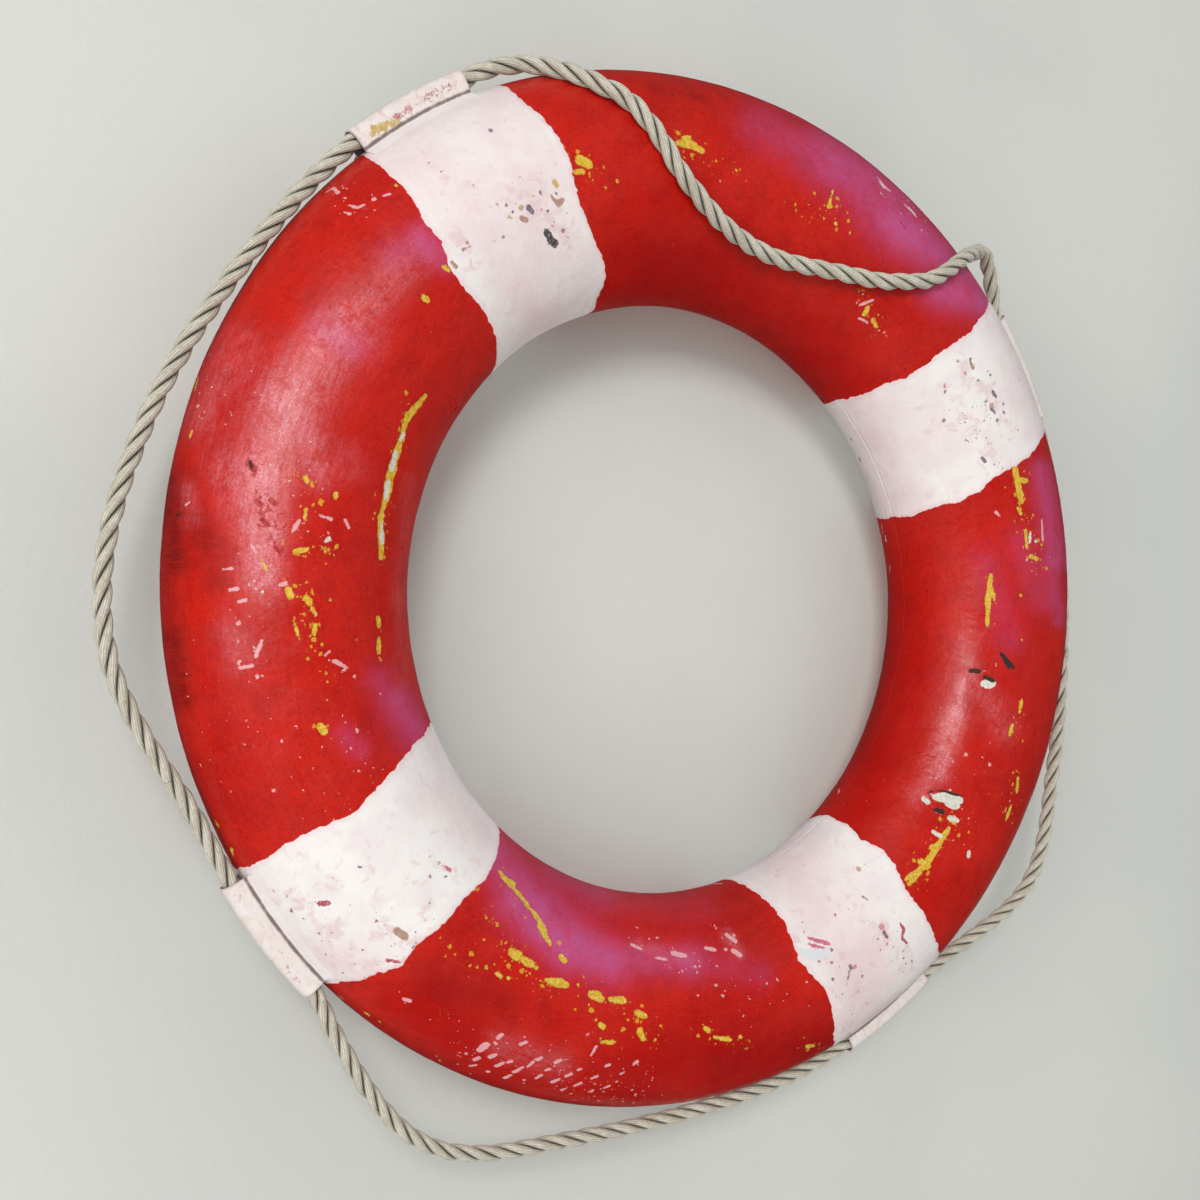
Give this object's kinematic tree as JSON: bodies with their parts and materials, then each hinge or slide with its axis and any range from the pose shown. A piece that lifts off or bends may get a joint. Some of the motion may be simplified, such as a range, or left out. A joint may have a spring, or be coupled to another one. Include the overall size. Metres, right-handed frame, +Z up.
{
  "type": "ring lifebuoy",
  "caption": "Foam-filled ring lifebuoy with a hard painted skin, red with white bands, and a laid grab rope held in tubular guides round its rim, hanging in swinging loops.",
  "frame": {"origin": "centre of the ring's opening, on the seam plane between the two halves of the skin", "axes": "+Y along the ring's axis from the front to the resting land on the back, +Z up as it hangs, +X to the right seen from the front"},
  "size_m": [0.8193, 0.1416, 0.7795],
  "materials": {
    "painted_skin": "satin paint over moulded plastic, red with white bands, faded, chipped and scratched",
    "guide_paint": "white paint, worn along the edges",
    "plug_plastic": "matt moulded plastic",
    "adhesive": "cured bonding paste",
    "foam": "closed-cell foam",
    "rope": "weathered laid fibre rope",
    "twine": "waxed twine"
  },
  "bodies": {
    "ring": {"front_shell": "painted_skin", "back_shell": "painted_skin", "fill_plug": "plug_plastic", "vent_plug": "plug_plastic", "seam_bond_outer": "adhesive", "seam_bond_inner": "adhesive", "foam_core_top": "foam", "foam_core_left": "foam", "foam_core_bottom": "foam", "foam_core_right": "foam", "rope_guide_top_right": "guide_paint", "rope_guide_top_left": "guide_paint", "rope_guide_bottom_left": "guide_paint", "rope_guide_bottom_right": "guide_paint", "rope_run_top_left": "rope", "rope_run_bottom_left": "rope", "rope_run_bottom_right": "rope", "rope_end_upper": "rope", "rope_end_lower": "rope", "rope_whipping_upper": "twine", "rope_whipping_lower": "twine"},
    "loop_top": {"rope_loop_top": "rope"},
    "loop_left": {"rope_loop_left": "rope"},
    "loop_bottom": {"rope_loop_bottom": "rope"},
    "loop_right": {"rope_loop_right": "rope"}
  },
  "joints": [
    {"name": "top_loop_swing", "type": "hinge", "parent": "ring", "child": "loop_top", "pos_m": [0.27503, -0.02644, 0.2848], "axis": [-0.9837, 0.0086, 0.1796], "range_deg": [0, 135]},
    {"name": "left_loop_swing", "type": "hinge", "parent": "ring", "child": "loop_left", "pos_m": [-0.34506, -0.01, 0.18342], "axis": [-0.1103, 0, -0.9939], "range_deg": [-84, 60]},
    {"name": "bottom_loop_swing", "type": "hinge", "parent": "ring", "child": "loop_bottom", "pos_m": [-0.28449, -0.01, -0.26808], "axis": [0.8913, 0, -0.4534], "range_deg": [-96, 75]},
    {"name": "right_loop_swing", "type": "hinge", "parent": "ring", "child": "loop_right", "pos_m": [0.24901, -0.01, -0.30111], "axis": [0.4775, 0, 0.8786], "range_deg": [-90, 65]}
  ]
}
